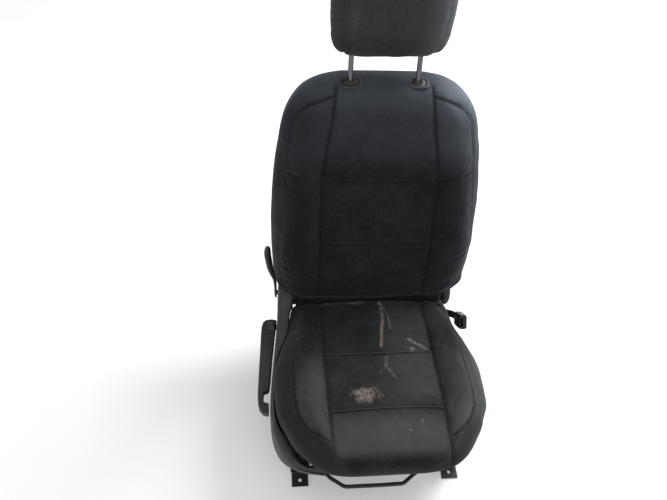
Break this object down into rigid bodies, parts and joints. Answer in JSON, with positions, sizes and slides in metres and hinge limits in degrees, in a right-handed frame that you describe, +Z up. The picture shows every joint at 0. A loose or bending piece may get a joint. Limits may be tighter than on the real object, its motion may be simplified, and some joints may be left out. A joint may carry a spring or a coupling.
{
  "type": "car seat",
  "caption": "Front passenger-car seat on slide rails: crowned cloth cushion and reclining back with side bolsters, raised head restraint, height and recline levers, belt buckle.",
  "frame": {"origin": "middle of the whole seat's box, at the floor that its feet stand on", "axes": "+Z up, the sitter faces -Y, +X towards the belt buckle (tunnel) side"},
  "size_m": [0.584, 0.8685, 1.0315],
  "materials": {
    "zinc_steel": "zinc-plated pressed steel",
    "polished_steel": "ground and polished steel",
    "black_steel": "black electrocoated steel",
    "spring_steel": "oiled spring wire",
    "bush_plastic": "natural acetal",
    "cover_plastic": "grained dark grey-brown plastic",
    "dark_plastic": "black moulded plastic",
    "red_plastic": "red moulded plastic",
    "back_fabric": "dark blue-grey woven cloth",
    "seat_fabric": "dark grey woven cloth, dusty",
    "rear_trim": "dark knitted back trim"
  },
  "bodies": {
    "floor_rails": {"lower_rail_outboard": "zinc_steel", "lower_rail_inboard": "zinc_steel"},
    "carriage": {"upper_rail_outboard": "zinc_steel", "upper_rail_inboard": "zinc_steel", "rail_roller_front_outboard": "polished_steel", "rail_roller_front_inboard": "polished_steel", "rail_roller_rear_outboard": "polished_steel", "rail_roller_rear_inboard": "polished_steel", "link_pin_front_outboard": "polished_steel", "link_pin_front_inboard": "polished_steel", "link_pin_rear_outboard": "polished_steel", "link_pin_rear_inboard": "polished_steel"},
    "release_bar": {"release_bar": "black_steel"},
    "lift_rear": {"lift_frame_rear": "black_steel"},
    "lift_front": {"lift_frame_front": "black_steel"},
    "cushion": {"cushion_pad": "seat_fabric", "cushion_front_pan": "black_steel", "spring_bar": "black_steel", "seat_spring_1": "spring_steel", "seat_spring_2": "spring_steel", "seat_spring_3": "spring_steel", "seat_spring_4": "spring_steel", "side_plate_outboard": "black_steel", "side_plate_inboard": "black_steel", "tube_bush_front_outboard": "bush_plastic", "tube_bush_front_inboard": "bush_plastic", "tube_bush_rear_outboard": "bush_plastic", "tube_bush_rear_inboard": "bush_plastic", "recliner_fixed_outboard": "zinc_steel", "recliner_fixed_inboard": "zinc_steel", "lift_pump": "zinc_steel", "side_shield": "cover_plastic", "recliner_cover_inboard": "cover_plastic", "buckle_bolt": "zinc_steel"},
    "buckle": {"buckle_stalk": "black_steel", "buckle_head": "dark_plastic"},
    "buckle_button": {"buckle_button": "red_plastic"},
    "lift_lever": {"lift_lever": "dark_plastic"},
    "backrest": {"backrest_pad": "back_fabric", "backrest_rear_cover": "rear_trim", "back_member_outboard": "black_steel", "back_member_inboard": "black_steel", "restraint_sleeve_outboard": "dark_plastic", "restraint_sleeve_inboard": "dark_plastic", "back_upper_tube": "black_steel", "back_lower_tube": "black_steel", "back_spring_1": "spring_steel", "back_spring_2": "spring_steel", "back_spring_3": "spring_steel", "recliner_moving_outboard": "zinc_steel", "recliner_moving_inboard": "zinc_steel"},
    "recliner_lever": {"recliner_rod": "black_steel", "recliner_lever": "dark_plastic"},
    "restraint_button": {"restraint_button": "dark_plastic"},
    "head_restraint": {"head_restraint_pad": "back_fabric", "head_restraint_posts": "polished_steel"}
  },
  "joints": [
    {"name": "seat_slide", "type": "slide", "parent": "floor_rails", "child": "carriage", "axis": [0, 1, 0], "range_m": [-0.105, 0.105]},
    {"name": "seat_lift", "type": "hinge", "parent": "carriage", "child": "lift_rear", "pos_m": [0.02, -0.0376, 0.084], "axis": [1, 0, 0], "range_deg": [-18, 28]},
    {"name": "lift_level", "type": "hinge", "parent": "lift_rear", "child": "cushion", "pos_m": [0.02, 0.039, 0.14828], "axis": [1, 0, 0], "range_deg": [-28, 18]},
    {"name": "lift_follow", "type": "hinge", "parent": "carriage", "child": "lift_front", "pos_m": [0.02, -0.3176, 0.084], "axis": [1, 0, 0], "range_deg": [-18, 28]},
    {"name": "slide_release", "type": "hinge", "parent": "carriage", "child": "release_bar", "pos_m": [0.02, -0.191, 0.06], "axis": [-1, 0, 0], "range_deg": [0, 6], "stiffness_Nm_per_rad": 10, "springref_deg": -11.46},
    {"name": "back_recline", "type": "hinge", "parent": "cushion", "child": "backrest", "pos_m": [0.02, 0.101, 0.225], "axis": [-1, 0, 0], "range_deg": [-12, 50]},
    {"name": "recliner_pull", "type": "hinge", "parent": "backrest", "child": "recliner_lever", "pos_m": [0.02, 0.101, 0.225], "axis": [-1, 0, 0], "range_deg": [0, 30], "stiffness_Nm_per_rad": 2, "springref_deg": -17.19},
    {"name": "lift_pump_stroke", "type": "hinge", "parent": "cushion", "child": "lift_lever", "pos_m": [0.02, 0.009, 0.185], "axis": [-1, 0, 0], "range_deg": [-20, 20], "stiffness_Nm_per_rad": 6},
    {"name": "buckle_swing", "type": "hinge", "parent": "cushion", "child": "buckle", "pos_m": [0.02, 0.065, 0.168], "axis": [1, 0, 0], "range_deg": [-6, 4]},
    {"name": "buckle_press", "type": "slide", "parent": "buckle", "child": "buckle_button", "axis": [0, 0.7071, -0.7071], "range_m": [0, 0.003], "stiffness_N_per_m": 800, "springref_m": -0.002},
    {"name": "restraint_height", "type": "slide", "parent": "backrest", "child": "head_restraint", "axis": [0, 0.3584, 0.9336], "range_m": [-0.045, 0.02]},
    {"name": "restraint_release", "type": "slide", "parent": "backrest", "child": "restraint_button", "axis": [1, 0, 0], "range_m": [0, 0.003], "stiffness_N_per_m": 600, "springref_m": -0.002}
  ],
  "couplings": [
    {"joint": "lift_level", "follows": "seat_lift", "ratio": -1},
    {"joint": "lift_follow", "follows": "seat_lift", "ratio": 1}
  ]
}
